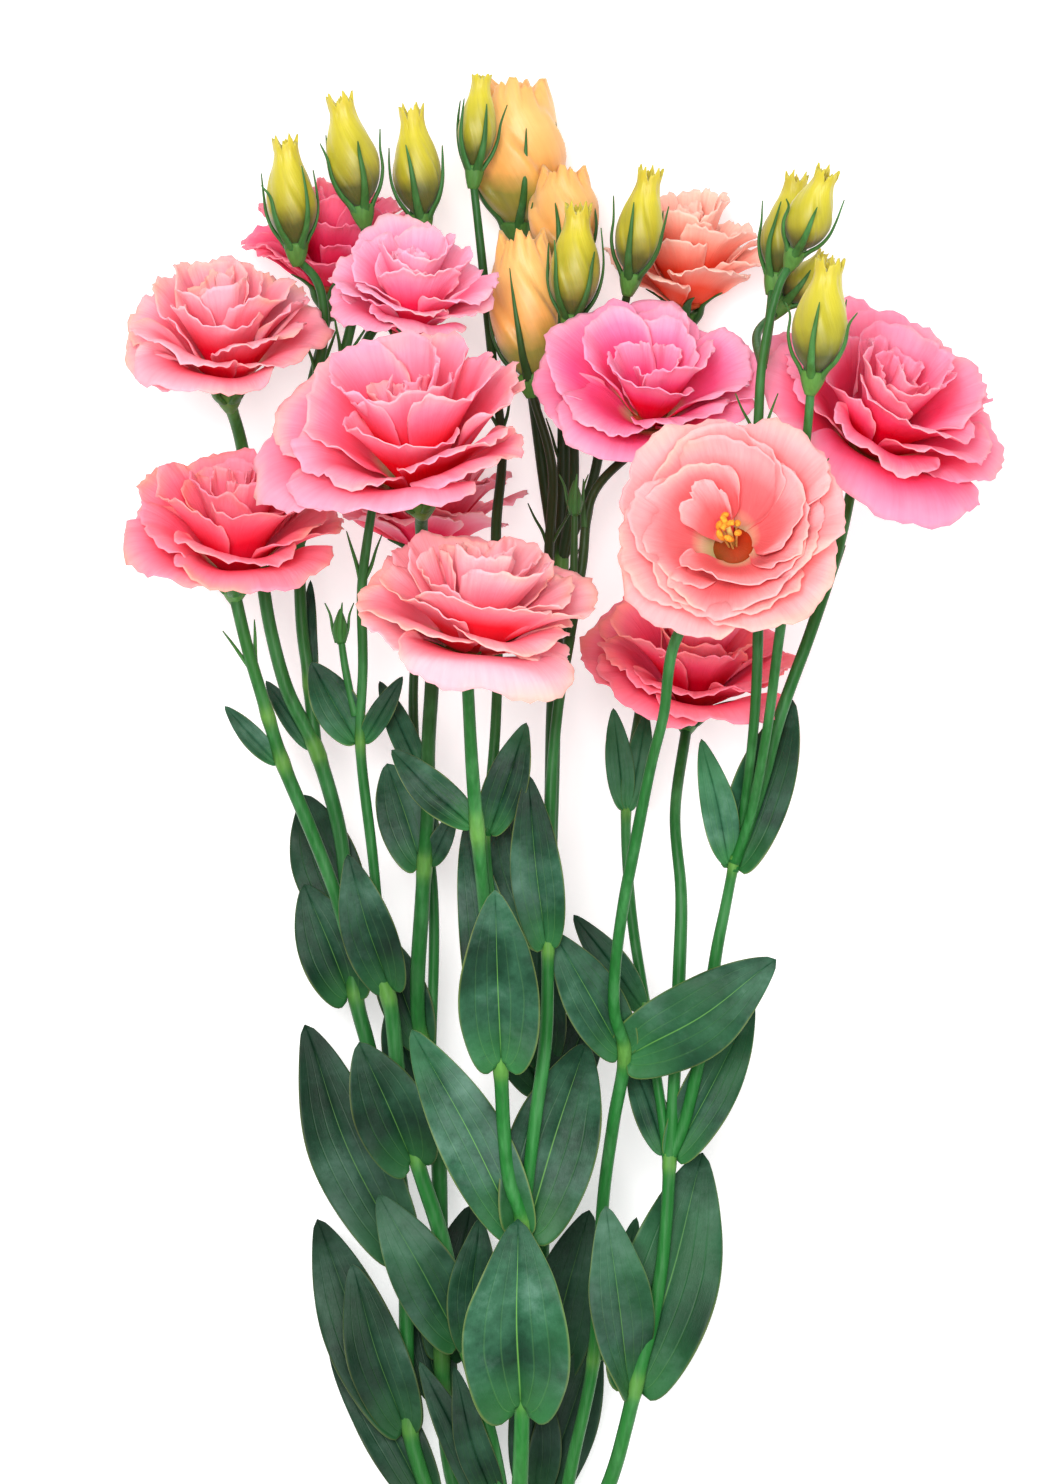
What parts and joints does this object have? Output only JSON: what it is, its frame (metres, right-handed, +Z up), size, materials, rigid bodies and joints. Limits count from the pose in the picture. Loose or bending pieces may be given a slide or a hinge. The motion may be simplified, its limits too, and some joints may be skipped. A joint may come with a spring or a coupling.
{
  "type": "lisianthus flower bouquet",
  "caption": "Bunch of cut lisianthus lying down: leafy stems tied near their cut ends, with ruffled double blooms in pinks and twisted buds.",
  "frame": {"origin": "on the surface that the bunch lies on, under the middle of its bounding box", "axes": "+Y along the stems from the cut ends to the blooms, +Z up from the surface, +X across the bunch"},
  "size_m": [0.2224, 0.4708, 0.138],
  "materials": {
    "green": "waxy blue-green leaves and smooth mid-green stems",
    "pink_petal": "thin soft petals, light pink with a deeper coral pink in the hollows",
    "rose_petal": "thin soft petals, deep rose pink with paler edges",
    "peach_petal": "thin soft petals, peach pink with cream edges",
    "green_bud": "furled petals, yellow-green",
    "peach_bud": "half-open furled petals, apricot",
    "stamen": "powdery orange-yellow anthers on pale filaments",
    "raffia": "flat matt natural raffia"
  },
  "bodies": {
    "root": {"stem_left": "green", "stem_left_front": "green", "stem_front": "green", "stem_middle": "green", "stem_right": "green", "stem_back": "green", "stem_back_middle": "green", "bloom_1": "pink_petal", "bloom_2": "rose_petal", "bloom_3": "pink_petal", "bloom_4": "pink_petal", "bloom_5": "pink_petal", "bloom_6": "pink_petal", "bloom_7": "pink_petal", "bloom_8": "peach_petal", "bloom_9": "rose_petal", "bloom_10": "peach_petal", "bloom_11": "rose_petal", "bloom_12": "pink_petal", "bud_1": "green_bud", "bud_2": "green_bud", "bud_3": "green_bud", "bud_4": "green_bud", "bud_5": "green_bud", "bud_6": "green_bud", "bud_7": "green_bud", "bud_8": "green_bud", "bud_9": "green_bud", "bud_10": "green_bud", "peach_bud_1": "peach_bud", "peach_bud_2": "peach_bud", "peach_bud_3": "peach_bud", "stamens": "stamen", "band": "raffia"}
  },
  "joints": []
}
